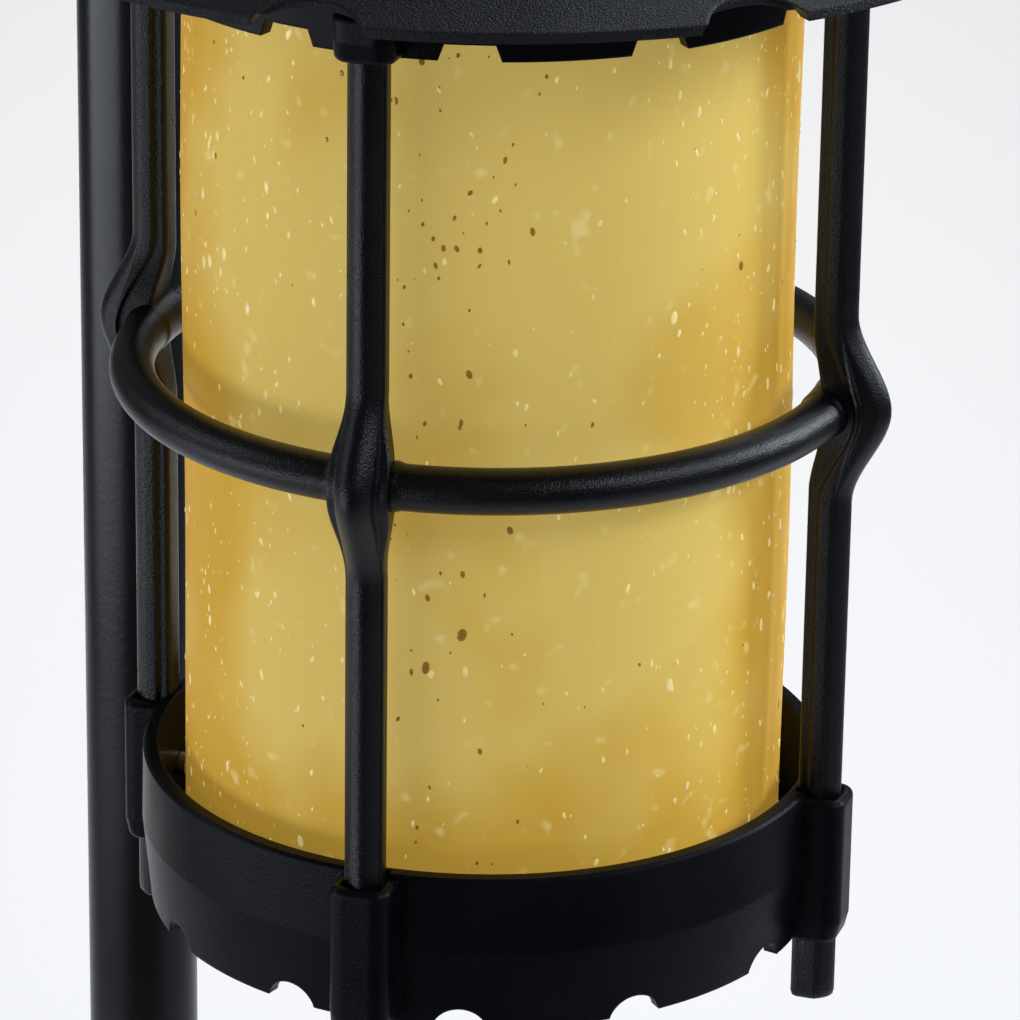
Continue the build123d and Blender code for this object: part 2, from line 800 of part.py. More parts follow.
def make_panel_lid():
    """Round lid with a square recess for the solar panel."""
    lid = disc(turret_radius, lid_bottom, lid_top)
    lid = chamfer(lid.edges().filter_by(GeomType.CIRCLE).sort_by(Axis.Z)[-1], lid_chamfer)
    recess_side = panel_side + 2 * panel_gap
    lid -= block(recess_side, recess_side, lid_top - panel_thickness, lid_top + 1)
    lid -= disc(lead_hole_radius, lid_bottom - 1, lid_top)
    hole = Pos(lid_post_circle, 0, 0) * disc(small_shank + screw_slack, lid_bottom - 1, lid_top + 1)
    sink = Pos(lid_post_circle, 0, 0) * disc(small_head_radius + fit_gap, lid_top - small_head_height, lid_top + 1)
    for cut in around(hole + sink, evenly(lid_screw_count)):
        lid -= cut
    return Rot(0, 0, lid_turn) * lid


def make_lid_seal():
    """Flat gasket under the lid."""
    seal = tube(turret_radius - seat_gap, turret_radius - 2 * lid_post_radius, turret_top, lid_bottom)
    hole = Pos(lid_post_circle, 0, 0) * disc(small_shank + screw_slack, turret_top - 1, lid_bottom + 1)
    for cut in around(hole, evenly(lid_screw_count, lid_turn)):
        seal -= cut
    return seal


def make_lid_screws():
    """Sunk screws from above through the lid into the turret's posts."""
    seat = lid_top - small_head_height
    pin = Rot(180, 0, 0) * screw(small_shank, small_head_radius, small_head_height, seat - lid_screw_tip)
    return Compound(around(Pos(lid_post_circle, 0, seat) * pin, evenly(lid_screw_count, lid_turn)))


def make_solar_panel():
    """Square panel in the lid's recess."""
    panel = block(panel_side, panel_side, lid_top - panel_thickness, lid_top)
    panel = chamfer(panel.edges().group_by(Axis.Z)[-1], panel_chamfer)
    return Rot(0, 0, lid_turn) * panel


def make_battery_holder():
    """Open cradle on the tray; its end walls carry the control board."""
    outer_half = holder_inner_half + holder_wall
    inner_width = 2 * (cell_radius + fit_gap)
    outer_width = inner_width + 2 * holder_wall
    holder = block(2 * outer_half, outer_width, tray_top, tray_top + holder_side_height)
    for sign in (-1, 1):
        middle = sign * (holder_inner_half + outer_half) / 2
        holder += Pos(middle, 0, 0) * block(holder_wall, outer_width, tray_top, tray_top + holder_end_height)
    holder -= block(2 * holder_inner_half, inner_width, tray_top + holder_wall, tray_top + holder_end_height + 1)
    return holder


def lying(shape):
    """Turn an upright shape to lie along X at the cell's height."""
    return Pos(0, 0, cell_axis) * Rot(0, 90, 0) * shape


def make_battery_cell():
    """Rechargeable cell with its positive nub."""
    nub_start = cell_shift + cell_half - cell_nub_length
    cell = disc(cell_radius, cell_shift - cell_half, nub_start) + disc(cell_nub_radius, nub_start,
                                                                       cell_shift + cell_half)
    return lying(cell)


def make_battery_contacts():
    """Two thin plates, one against each end wall."""
    plate = Box(contact_thickness, cell_radius, cell_radius)
    offset = holder_inner_half - contact_thickness / 2
    return Compound([Pos(sign * offset, 0, cell_axis) * plate for sign in (-1, 1)])


def make_battery_spring():
    """Coil spring between the negative plate and the cell."""
    low = contact_thickness - holder_inner_half + spring_wire_radius
    high = cell_shift - cell_half - spring_wire_radius
    pitch = (high - low) / spring_coils
    coil = Helix(pitch, high - low, spring_radius)
    start = coil @ 0
    section = Plane(origin=start, z_dir=coil % 0) * Circle(spring_wire_radius)
    return lying(Pos(0, 0, low) * sweep(section, path=coil, is_frenet=True))


def make_control_board():
    """Circuit board across the holder's end walls."""
    low = tray_top + holder_end_height
    return block(board_length, board_width, low, low + board_thickness)


def make_board_parts():
    """Chip, coil and capacitor under and on the control board."""
    low = tray_top + holder_end_height + board_thickness
    chip = Pos(chip_place, 0, 0) * block(chip_length, chip_width, low, low + chip_height)
    coil = Pos(*coil_place, 0) * disc(coil_radius, low, low + 2 * chip_height)
    capacitor = Pos(*capacitor_place, 0) * disc(capacitor_radius, low, low + 3 * chip_height)
    return Compound([chip, coil, capacitor])


def make_led_column():
    """White tube with a flange under the tray."""
    column = tube(column_radius, column_radius - column_wall, tray_bottom - column_length, tray_bottom)
    flange_radius = diffuser_radius - diffuser_wall - fit_gap
    column += tube(flange_radius, column_radius - column_wall, tray_bottom - column_flange_thickness, tray_bottom)
    column += disc(column_radius, tray_bottom - column_length - column_wall, tray_bottom - column_length)
    hole = Pos(column_screw_circle, 0, 0) * disc(small_shank + screw_slack, tray_bottom - column_flange_thickness - 1,
                                                 tray_bottom + 1)
    for cut in around(hole, evenly(column_screw_count, column_screw_start)):
        column -= cut
    return column


def make_column_screws():
    """Screws from below through the column's flange into the tray."""
    length = column_flange_thickness + blind_screw_depth
    pin = screw(small_shank, small_head_radius, small_head_height, length)
    seat = Pos(column_screw_circle, 0, tray_bottom - column_flange_thickness) * pin
    return Compound(around(seat, evenly(column_screw_count, column_screw_start)))


def make_led_sheet():
    """Flexible circuit wrapped round the column."""
    return tube(led_sheet_outer, led_sheet_inner, led_sheet_low, led_sheet_high)


def make_led_emitters():
    """Rows of light-emitting diodes on the sheet."""
    diode = Box(led_height, led_side, led_side, align=(Align.MIN, Align.CENTER, Align.CENTER))
    spacing = (led_sheet_high - led_sheet_low) / led_rows
    diodes = []
    for row in range(led_rows):
        height = led_sheet_low + spacing * (row + 0.5)
        diodes += around(Pos(led_sheet_outer, 0, height) * diode, evenly(led_columns))
    return Compound(diodes)


def make_flame_diffuser():
    """Frosted cup that hangs from the tray over the lamp column."""
    low = tray_bottom - diffuser_length
    cup = disc(diffuser_radius, low, tray_bottom)
    return cup - disc(diffuser_radius - diffuser_wall, low + diffuser_floor, tray_bottom + 1)


def make_power_button():
    """Push button that stands below the tray, with a flange above it."""
    flange_low = tray_top + seat_gap
    button = disc(button_radius, tray_bottom - button_stand, flange_low)
    button += disc(button_flange_radius, flange_low, flange_low + button_flange_thickness)
    return Pos(0, -button_circle, 0) * button


def make_switch_body():
    """Switch housing over the button, on the tray."""
    well_top = tray_top + seat_gap + button_flange_thickness + button_travel + seat_gap
    body = block(switch_side, switch_side, tray_top, tray_top + switch_height)
    body -= disc(button_flange_radius + seat_gap, tray_top - 1, well_top)
    return Pos(0, -button_circle, 0) * body


def make_glass():
    """Seeded glass cylinder."""
    return tube(glass_radius, glass_radius - glass_wall, glass_bottom, glass_top)


def make_glass_seat():
    """Rubber ring between the floor and the glass."""
    return tube(glass_radius + seat_ring_lip, glass_radius - glass_wall - seat_ring_overlap, floor_top, glass_bottom)


def make_glass_collar():
    """Rubber ring that centres the glass in the collar."""
    return tube(band_inner - fit_gap, glass_radius + fit_gap, lip_bottom - top_ring_seal_height, lip_bottom)


os.makedirs("parts", exist_ok=True)

save(make_ground_stake(), "ground_stake")
save(make_lower_pole(), "lower_pole")
save(make_pole_joiner(), "pole_joiner")
save(make_crook_tube(), "crook_tube")
save(make_crook_end_plug(), "crook_end_plug")

lantern_parts = {
    "hanging_hook": make_hanging_hook(),
    "bail": make_bail(),
    "base_ring": make_base_ring(),
    "base_floor": make_base_floor(),
    "floor_screws": make_floor_screws(),
    "top_ring": make_top_ring(),
    "bar_screws": make_bar_screws(),
    "guard_hoop": make_hoop_cut(0),
    "seeded_glass": make_glass(),
    "glass_seat_ring": make_glass_seat(),
    "glass_top_ring": make_glass_collar(),
    "roof_shell": make_roof_shell(),
    "module_tray": make_module_tray(),
    "tray_screws": make_tray_screws(),
    "panel_lid": make_panel_lid(),
    "lid_seal": make_lid_seal(),
    "lid_screws": make_lid_screws(),
    "solar_panel": make_solar_panel(),
    "battery_holder": make_battery_holder(),
    "battery_cell": make_battery_cell(),
    "battery_contacts": make_battery_contacts(),
    "battery_spring": make_battery_spring(),
    "control_board": make_control_board(),
    "board_parts": make_board_parts(),
    "led_column": make_led_column(),
    "column_screws": make_column_screws(),
    "led_sheet": make_led_sheet(),
    "led_emitters": make_led_emitters(),
    "flame_diffuser": make_flame_diffuser(),
    "power_button": make_power_button(),
    "switch_body": make_switch_body(),
}
for name, shape in lantern_parts.items():
    save(lifted(shape), name)

bar = make_bar()
for number, angle in enumerate(bar_angles, start=1):
    save(lifted(Rot(0, 0, angle) * bar), f"cage_bar_{number}")

print("lantern lift", round(lantern_lift, 2), "reach", reach)
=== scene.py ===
import math

import bpy
import numpy as np
from mathutils import Matrix, Vector


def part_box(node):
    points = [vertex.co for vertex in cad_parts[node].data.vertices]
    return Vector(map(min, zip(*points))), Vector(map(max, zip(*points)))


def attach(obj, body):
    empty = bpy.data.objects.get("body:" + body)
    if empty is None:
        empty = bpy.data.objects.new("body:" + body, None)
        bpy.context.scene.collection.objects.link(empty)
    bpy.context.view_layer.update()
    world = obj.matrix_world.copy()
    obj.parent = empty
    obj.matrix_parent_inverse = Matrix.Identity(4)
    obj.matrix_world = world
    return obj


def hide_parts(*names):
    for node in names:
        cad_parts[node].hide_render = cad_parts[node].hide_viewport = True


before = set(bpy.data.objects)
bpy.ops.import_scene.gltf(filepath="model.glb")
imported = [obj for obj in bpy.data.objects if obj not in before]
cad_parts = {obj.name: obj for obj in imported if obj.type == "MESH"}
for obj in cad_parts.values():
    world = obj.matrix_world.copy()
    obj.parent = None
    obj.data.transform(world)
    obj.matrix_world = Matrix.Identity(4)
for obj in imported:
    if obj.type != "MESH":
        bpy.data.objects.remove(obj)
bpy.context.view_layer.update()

mm = 0.001
print("frame loaded")

# The lantern's axis and the plane of its guard hoop; the lantern's sizes below are millimetres from these two
hoopLow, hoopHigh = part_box("guard_hoop")
axisX = (hoopLow.x + hoopHigh.x) / 2
hoopZ = (hoopLow.z + hoopHigh.z) / 2


# Camera

view = {
    "turn": 63.1, "pitch": 21.459, "roll": 0.825, "distance": 0.978115,
    "aimRight": 0.003916, "aimUp": -0.02582, "lens": 209.3, "sensor": 36, "farthest": 60,
}


def placeCamera():
    # the camera looks along the view direction at a point beside the lantern, rolled about that direction
    pitch, roll = math.radians(view["pitch"]), math.radians(view["roll"])
    ahead = Vector((0, math.cos(pitch), -math.sin(pitch)))
    above = Vector((0, math.sin(pitch), math.cos(pitch)))
    right = Vector((1, 0, 0))
    rolledRight = right * math.cos(roll) + above * math.sin(roll)
    rolledUp = above * math.cos(roll) - right * math.sin(roll)
    place = Vector((view["aimRight"], 0, view["aimUp"])) - ahead * view["distance"]
    pose = Matrix((rolledRight, rolledUp, -ahead)).transposed().to_4x4()
    pose.translation = place
    turn = Matrix.Rotation(math.radians(view["turn"]), 4, "Z")
    camera = bpy.data.objects.new("camera", bpy.data.cameras.new("camera"))
    camera.data.lens = view["lens"]
    camera.data.sensor_width = view["sensor"]
    camera.data.clip_end = view["farthest"]
    camera.matrix_world = Matrix.Translation((axisX, 0, hoopZ)) @ turn @ pose
    bpy.context.scene.collection.objects.link(camera)
    bpy.context.scene.camera = camera


placeCamera()
print("camera placed")


# Surfaces from grids of points

def meshPiece(name, vertices, faces, sharpAngle=40):
    # a smooth mesh whose edges stay sharp past an angle in degrees
    mesh = bpy.data.meshes.new(name)
    mesh.from_pydata(vertices, [], faces)
    mesh.validate()
    mesh.shade_smooth()
    mesh.set_sharp_from_angle(angle=math.radians(sharpAngle))
    piece = bpy.data.objects.new(name, mesh)
    bpy.context.scene.collection.objects.link(piece)
    return piece


def gridPiece(name, points, wrapAlong=False, sharpAngle=40):
    # rows of points become quads between neighbours; each row closes on itself, and the rows either close
    # on each other too or end in a fan to the middle of the first and last row
    rows, columns = points.shape[:2]
    index = np.arange(rows * columns).reshape(rows, columns)
    beside = np.roll(index, -1, axis=1)
    quads = np.stack([index, beside, np.roll(beside, -1, axis=0), np.roll(index, -1, axis=0)], axis=-1)
    vertices = points.reshape(-1, 3)
    faces = (quads if wrapAlong else quads[:-1]).reshape(-1, 4).tolist()
    if not wrapAlong:
        middles = np.array([points[0].mean(axis=0), points[-1].mean(axis=0)])
        first, last = len(vertices), len(vertices) + 1
        vertices = np.concatenate([vertices, middles])
        faces += np.stack([beside[0], index[0], np.full(columns, first)], axis=-1).tolist()
        faces += np.stack([index[-1], beside[-1], np.full(columns, last)], axis=-1).tolist()
    return meshPiece(name, vertices, faces, sharpAngle)


def finishPiece(piece, body, slotName, material, *nodes):
    # one material, the body that carries the piece, its slot, which is not used, and the CAD nodes it stands
    # for
    piece.data.materials.clear()
    piece.data.materials.append(material)
    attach(piece, body)
    if nodes:
        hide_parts(*nodes)


def stepBack(side, radius, most=0.45, tiny=1e-9):
    # from a corner along one of its sides: the radius, or less than half of a short side
    length = np.maximum(np.linalg.norm(side, axis=-1, keepdims=True), tiny)
    return side * np.minimum(radius / length, most)


def roundedOutline(corners, radius, steps=4):
    # each corner of a closed outline becomes a quadratic curve between points set back along its two sides
    start = corners + stepBack(np.roll(corners, 1, axis=-2) - corners, radius)
    stop = corners + stepBack(np.roll(corners, -1, axis=-2) - corners, radius)
    t = np.linspace(0, 1, steps)[:, None]
    first, middle, last = start[..., None, :], corners[..., None, :], stop[..., None, :]
    curve = (1 - t) ** 2 * first + 2 * t * (1 - t) * middle + t ** 2 * last
    return curve.reshape(*corners.shape[:-2], -1, corners.shape[-1])


def aroundAxis(radius, angle, height):
    # cylinder coordinates about the lantern's axis, in millimetres, with heights from the hoop's plane
    x = axisX + radius * np.cos(angle) * mm
    y = radius * np.sin(angle) * mm
    z = hoopZ + height * mm
    return np.stack(np.broadcast_arrays(x, y, z), axis=-1)


def smoothStep(value):
    # three squares less two cubes, level at nought and at one
    value = np.clip(value, 0, 1)
    return value * value * (3 - 2 * value)


# Materials

noiseMiddle = (0.3, 0.7)    # nearly all of a noise lies between these two values


def newMaterial(name):
    # a material with its node tree and its shader
    material = bpy.data.materials.new(name)
    material.use_nodes = True
    tree = material.node_tree
    return material, tree, tree.nodes["Principled BSDF"]


def addNode(tree, kind, values=None, **links):
    # a node with its plain values set and its inputs joined to other sockets
    node = tree.nodes.new(kind)
    for key, value in (values or {}).items():
        if key in node.inputs:
            node.inputs[key].default_value = value
        else:
            setattr(node, key, value)
    for key, source in links.items():
        tree.links.new(source, node.inputs[key])
    return node


def setShader(shader, **values):
    # uniform values go straight on the shader's own sockets
    sockets = {
        "gloss": "Specular IOR Level", "metallic": "Metallic", "glow": "Emission Strength",
        "coat": "Coat Weight", "coatIor": "Coat IOR", "coatRoughness": "Coat Roughness",
        "coatTint": "Coat Tint",
    }
    for key, value in values.items():
        shader.inputs[sockets[key]].default_value = value


def objectPoint(tree):
    # a piece's own coordinates, which are the frame's in metres
    return addNode(tree, "ShaderNodeTexCoord").outputs["Object"]


def turnedPoint(tree, degrees):
    # object coordinates about the lantern's axis, turned round it
    values = {"vector_type": "TEXTURE", "Location": (axisX, 0, 0), "Rotation": (0, 0, math.radians(degrees))}
    turned = addNode(tree, "ShaderNodeMapping", values, Vector=objectPoint(tree))
    return addNode(tree, "ShaderNodeSeparateXYZ", Vector=turned.outputs["Vector"])


def maths(tree, operation, first, second=None):
    # one arithmetic step on a socket, with another socket or a plain number beside it
    node = addNode(tree, "ShaderNodeMath", {"operation": operation})
    tree.links.new(first, node.inputs[0])
    if isinstance(second, float):
        node.inputs[1].default_value = second
    elif second is not None:
        tree.links.new(second, node.inputs[1])
    return node.outputs[0]


def noise(tree, point, size, detail=3.0):
    # size is the width of one blotch in metres
    texture = addNode(tree, "ShaderNodeTexNoise", {"Scale": 1 / size, "Detail": detail}, Vector=point)
    return texture.outputs["Fac"]


def remap(tree, value, fromRange, toRange):
    # a straight line from one range to another, held level past both ends
    limits = {"From Min": fromRange[0], "From Max": fromRange[1], "To Min": toRange[0], "To Max": toRange[1]}
    return addNode(tree, "ShaderNodeMapRange", limits, Value=value).outputs["Result"]


def blendColours(tree, value, dark, light):
    # dark below the middle of a noise, light above it, and a straight blend between
    ramp = addNode(tree, "ShaderNodeValToRGB", Fac=value)
    for element, position, colour in zip(ramp.color_ramp.elements, noiseMiddle, (dark, light)):
        element.position = position
        element.color = (*colour, 1)
    return ramp.outputs["Color"]


def grainMaterial(name, look):
    # cloudy noise shifts colour and roughness, a fine grain raises the surface, and a finish that names
    # an edge has its sharp edges softened by that radius
    material, tree, shader = newMaterial(name)
    point = objectPoint(tree)
    cloud = noise(tree, point, look["cloudSize"])
    tree.links.new(blendColours(tree, cloud, look["dark"], look["light"]), shader.inputs["Base Color"])
    tree.links.new(remap(tree, cloud, noiseMiddle, look["roughness"]), shader.inputs["Roughness"])
    grain = noise(tree, point, look["grainSize"], detail=2.0)
    relief = {"Strength": look["grainStrength"], "Distance": look["grainDepth"]}
    bump = addNode(tree, "ShaderNodeBump", relief, Height=grain)
    if "edge" in look:
        softened = addNode(tree, "ShaderNodeBevel", {"Radius": look["edge"]})
        tree.links.new(softened.outputs["Normal"], bump.inputs["Normal"])
    tree.links.new(bump.outputs["Normal"], shader.inputs["Normal"])
    setShader(shader, metallic=look.get("metallic", 0.0), gloss=look.get("gloss", 0.26),
              coat=look.get("coat", 0.0), coatRoughness=look.get("coatRoughness", 0.2))
    return material


finishes = {
    "cagePlastic": {
        "dark": (0.0015, 0.0019, 0.0031), "light": (0.003, 0.0037, 0.0058), "roughness": (0.26, 0.34),
        "gloss": 0.38, "cloudSize": 0.02, "grainSize": 0.0003, "grainStrength": 0.7, "grainDepth": 0.00016,
    },
    "ringPlastic": {
        "dark": (0.003, 0.0036, 0.0055), "light": (0.0058, 0.0066, 0.0096), "roughness": (0.3, 0.4),
        "gloss": 0.1, "cloudSize": 0.02, "grainSize": 0.0006, "grainStrength": 0.4, "grainDepth": 0.00014,
        "edge": 0.0006,
    },
    "roofPlastic": {
        "dark": (0.0036, 0.0042, 0.006), "light": (0.008, 0.0094, 0.0128), "roughness": (0.3, 0.42),
        "gloss": 0.3, "cloudSize": 0.012, "grainSize": 0.00032, "grainStrength": 0.95, "grainDepth": 0.0003,
        "edge": 0.0007,
    },
    "polePaint": {
        "dark": (0.0017, 0.0022, 0.0034), "light": (0.0034, 0.0042, 0.0062), "roughness": (0.24, 0.32),
        "gloss": 0.42, "cloudSize": 0.05, "grainSize": 0.0012, "grainStrength": 0.25, "grainDepth": 0.0001,
    },
    "joinerPlastic": {
        "dark": (0.005, 0.005, 0.006), "light": (0.01, 0.01, 0.011), "roughness": (0.38, 0.5),
        "cloudSize": 0.02, "grainSize": 0.0005, "grainStrength": 0.3, "grainDepth": 0.0001, "edge": 0.0004,
    },
    "stakePlastic": {
        "dark": (0.008, 0.008, 0.009), "light": (0.015, 0.015, 0.016), "roughness": (0.42, 0.58),
        "cloudSize": 0.03, "grainSize": 0.0006, "grainStrength": 0.5, "grainDepth": 0.00015, "edge": 0.0005,
    },
    "blackWire": {
        "dark": (0.004, 0.004, 0.005), "light": (0.009, 0.009, 0.01), "roughness": (0.25, 0.36),
        "cloudSize": 0.01, "grainSize": 0.0005, "grainStrength": 0.2, "grainDepth": 0.0001,
    },
    "blackRubber": {
        "dark": (0.012, 0.012, 0.012), "light": (0.02, 0.02, 0.02), "roughness": (0.6, 0.75),
        "cloudSize": 0.01, "grainSize": 0.0004, "grainStrength": 0.3, "grainDepth": 0.0001,
    },
    "screwSteel": {
        "dark": (0.45, 0.45, 0.46), "light": (0.62, 0.62, 0.63), "roughness": (0.25, 0.4), "metallic": 1.0,
        "cloudSize": 0.003, "grainSize": 0.0003, "grainStrength": 0.2, "grainDepth": 0.00005,
    },
    "contactSteel": {
        "dark": (0.6, 0.6, 0.6), "light": (0.75, 0.75, 0.74), "roughness": (0.2, 0.32), "metallic": 1.0,
        "cloudSize": 0.003, "grainSize": 0.0003, "grainStrength": 0.2, "grainDepth": 0.00005,
    },
    "whitePlastic": {
        "dark": (0.74, 0.73, 0.69), "light": (0.82, 0.81, 0.77), "roughness": (0.4, 0.52),
        "cloudSize": 0.02, "grainSize": 0.0004, "grainStrength": 0.2, "grainDepth": 0.00008, "edge": 0.0003,
    },
    "diffuserPlastic": {
        "dark": (0.86, 0.76, 0.56), "light": (0.92, 0.83, 0.64), "roughness": (0.5, 0.6),
        "cloudSize": 0.02, "grainSize": 0.0004, "grainStrength": 0.2, "grainDepth": 0.00008,
    },
    "circuitBoard": {
        "dark": (0.012, 0.12, 0.04), "light": (0.02, 0.18, 0.06), "roughness": (0.25, 0.35),
        "cloudSize": 0.004, "grainSize": 0.0005, "grainStrength": 0.2, "grainDepth": 0.00005,
    },
    "ledResin": {
        "dark": (0.85, 0.62, 0.2), "light": (0.95, 0.78, 0.35), "roughness": (0.15, 0.25),
        "cloudSize": 0.003, "grainSize": 0.0005, "grainStrength": 0.1, "grainDepth": 0.00005,
    },
    "cellSleeve": {
        "dark": (0.01, 0.12, 0.05), "light": (0.02, 0.17, 0.08), "roughness": (0.2, 0.3),
        "cloudSize": 0.01, "grainSize": 0.0005, "grainStrength": 0.1, "grainDepth": 0.00005,
    },
}
materials = {name: grainMaterial(name, look) for name, look in finishes.items()}
print("materials made")


# Amber glass

glass = {
    "outer": 50, "wall": 3, "low": -86.5, "high": 74.7, "round": 6.5,
    "rows": 180, "roundRows": 12, "columns": 240,
    "ripple": 0.3, "broadWaves": 3, "broadRise": 21, "fineWaves": 5, "fineRise": 14, "fineShift": 1.0,
    "fineShare": 0.6,
    "pale": (0.755, 0.59, 0.18), "deep": (0.665, 0.43, 0.07), "fleck": (0.90, 0.77, 0.36),
    "cloudSize": 0.036, "cloudRange": (0.32, 0.68), "cloudTone": (0.2, 0.7),
    "footRange": (2, 40), "footTone": (-0.45, 0.25),    # millimetres above the foot
    # painted shade: sideTurn is the camera's turn, and the glass grows deeper amber towards the two sides
    # left and right in that view
    "sideTurn": 63.1, "sideStart": 37, "paintedSideShade": (0.0, -0.5),    # degrees, and millimetres from the axis
    "fleckSize": 0.0038, "fleckRange": (0.66, 0.78), "fleckShare": (0.0, 0.6),
    "fineSize": 0.003, "roughness": (0.5, 0.62), "bumpStrength": 0.2, "bumpDepth": 0.0003,
    "gloss": 0.1, "coat": 0.5, "coatIor": 1.08, "coatRoughness": 0.4, "tint": (0.95, 0.83, 0.55),
    # painted glow: the glass emits its own colour, standing in for the daylight that comes through the
    # frosted wall
    "glow": 0.43,    # daylight that comes through the frosted wall
}


def glassMaterial():
    # slow clouds between a pale and a deep amber, deeper towards the foot, with soft pale flecks among them;
    #     # painted shade deepens it towards the two sides that stand left and right in the camera's view, and
    #     its colour also glows as painted light
    material, tree, shader = newMaterial("amberGlass")
    point = objectPoint(tree)
    height = addNode(tree, "ShaderNodeSeparateXYZ", Vector=point).outputs["Z"]
    footRange = [hoopZ + (glass["low"] + above) * mm for above in glass["footRange"]]
    foot = remap(tree, height, footRange, glass["footTone"])
    cloudNoise = noise(tree, point, glass["cloudSize"], detail=2.0)
    cloud = remap(tree, cloudNoise, glass["cloudRange"], glass["cloudTone"])
    # painted shade: deeper amber towards the two sides left and right in the camera's view
    sideways = maths(tree, "ABSOLUTE", turnedPoint(tree, glass["sideTurn"]).outputs["X"])
    side = remap(tree, sideways, (glass["sideStart"] * mm, glass["outer"] * mm), glass["paintedSideShade"])
    tone = maths(tree, "ADD", maths(tree, "ADD", foot, cloud), side)
    fleckNoise = noise(tree, point, glass["fleckSize"], detail=1.0)
    mixed = addNode(tree, "ShaderNodeMix", {"data_type": "RGBA"})
    firstColour, secondColour, mixedColour = mixed.inputs[6], mixed.inputs[7], mixed.outputs[2]
    tree.links.new(remap(tree, fleckNoise, glass["fleckRange"], glass["fleckShare"]), mixed.inputs["Factor"])
    tree.links.new(blendColours(tree, tone, glass["deep"], glass["pale"]), firstColour)
    secondColour.default_value = (*glass["fleck"], 1)
    tree.links.new(mixedColour, shader.inputs["Base Color"])
    # painted glow: the same colour also goes to the emission
    tree.links.new(mixedColour, shader.inputs["Emission Color"])
    fine = noise(tree, point, glass["fineSize"])
    tree.links.new(remap(tree, fine, noiseMiddle, glass["roughness"]), shader.inputs["Roughness"])
    relief = {"Strength": glass["bumpStrength"], "Distance": glass["bumpDepth"]}
    bump = addNode(tree, "ShaderNodeBump", relief, Height=fine)
    tree.links.new(bump.outputs["Normal"], shader.inputs["Normal"])
    setShader(shader, glow=glass["glow"], gloss=glass["gloss"], coat=glass["coat"], coatIor=glass["coatIor"],
              coatRoughness=glass["coatRoughness"], coatTint=(*glass["tint"], 1))
    return material


def glassRadius(angle, height):
    # the outer wall: a broad and a fine sine of angle and height, lowered so that they only draw it inwards
    broad = np.sin(glass["broadWaves"] * angle + height / glass["broadRise"])
    fine = np.sin(glass["fineWaves"] * angle - height / glass["fineRise"] + glass["fineShift"])
    wave = broad + glass["fineShare"] * fine - (1 + glass["fineShare"])
    return glass["outer"] + glass["ripple"] * wave / 2


def makeGlass():
    # a closed profile of depth and height goes down the outside, round the foot and up the inside,
    # both walls following the outer wall's slow ripple
    wall, foot = glass["wall"], glass["round"]
    outerRows = np.linspace(glass["high"], glass["low"] + foot, glass["rows"])
    turn = np.linspace(0, np.pi / 2, glass["roundRows"])[1:]
    footDepth = foot * (1 - np.cos(turn))
    footHeight = glass["low"] + foot * (1 - np.sin(turn))
    innerFoot = footHeight[::-1] + wall * np.sin(turn[::-1])
    depth = np.concatenate([0 * outerRows, footDepth, footDepth[::-1] + wall, 0 * outerRows + wall])[:, None]
    height = np.concatenate([outerRows, footHeight, innerFoot, outerRows[::-1]])[:, None]
    angle = np.linspace(0, 2 * np.pi, glass["columns"], endpoint=False)[None, :]
    points = aroundAxis(glassRadius(angle, height) - depth, angle, height)
    return gridPiece("amberGlass", points[:, ::-1], wrapAlong=True, sharpAngle=50)


finishPiece(makeGlass(), "cage", "amber_glass", glassMaterial(), "seeded_glass")
print("glass made")


# Seeds in the glass

# painted highlight and painted shade: the light seeds are painted glints and the dark seeds painted dark
# reflections of bubbles; their zones lie where bubbles catch the side lamps or face the dark front, and both
# glow a little
seeds = {    # each zone is a middle and a width in degrees, and how many more seeds it gets
    "light": {
        "drawFrom": 11, "tries": 2600, "size": 0.42, "spread": 0.52, "slim": (0.36, 0.58), "rise": 0.13,
        "zones": [(-79, 24, 1.0), (28, 27, 0.9), (150, 60, 0.6)], "floor": 0.16, "lower": 0.75,
        "colour": (0.94, 0.78, 0.33), "glow": 0.5,
    },
    "dark": {
        "drawFrom": 12, "tries": 1700, "size": 0.4, "spread": 0.5, "slim": (0.45, 0.75), "rise": 0.12,
        "zones": [(-36, 15, 0.9), (110, 40, 0.4)], "floor": 0.02, "lower": 0.3,
        "colour": (0.42, 0.21, 0.02), "glow": 0.25,
    },
}
everySeed = {    # millimetres, or shares of a seed's own size
    "aboveFoot": 6, "belowRim": 2, "upperGain": 1.4, "most": 1.25, "tilt": 0.3, "sink": 0.02,
    "fullWidth": 0.3, "corners": 8, "reach": [1.0, 0.86, 0.5], "lift": [-0.5, 0.55, 0.93],
    "poleLift": [-0.5, 1.05], "shade": 0.8,
}
seedFinish = {
    "roughness": (0.12, 0.2), "coat": 0.5, "coatRoughness": 0.1,
    "cloudSize": 0.006, "grainSize": 0.001, "grainStrength": 0.1, "grainDepth": 0.0001,
}


def seedDome():
    # one small closed dome: rings of a few corners and a single pole below and above them
    corners, rings = everySeed["corners"], len(everySeed["reach"])
    turn = np.append(np.tile(np.linspace(0, 2 * np.pi, corners, endpoint=False), rings), [0, 0])
    reach = np.append(np.repeat(everySeed["reach"], corners), [0, 0])
    lift = np.append(np.repeat(everySeed["lift"], corners), everySeed["poleLift"])
    index = np.arange(corners * rings).reshape(rings, corners)
    beside = np.roll(index, -1, axis=1)
    quads = np.stack([index[:-1], beside[:-1], beside[1:], index[1:]], axis=-1).reshape(-1, 4)
    lowPole, highPole = np.full(corners, index.size), np.full(corners, index.size + 1)
    lowFan = np.stack([beside[0], index[0], lowPole], axis=-1)
    highFan = np.stack([index[-1], beside[-1], highPole], axis=-1)
    return reach * np.cos(turn), reach * np.sin(turn), lift, quads, np.concatenate([lowFan, highFan])


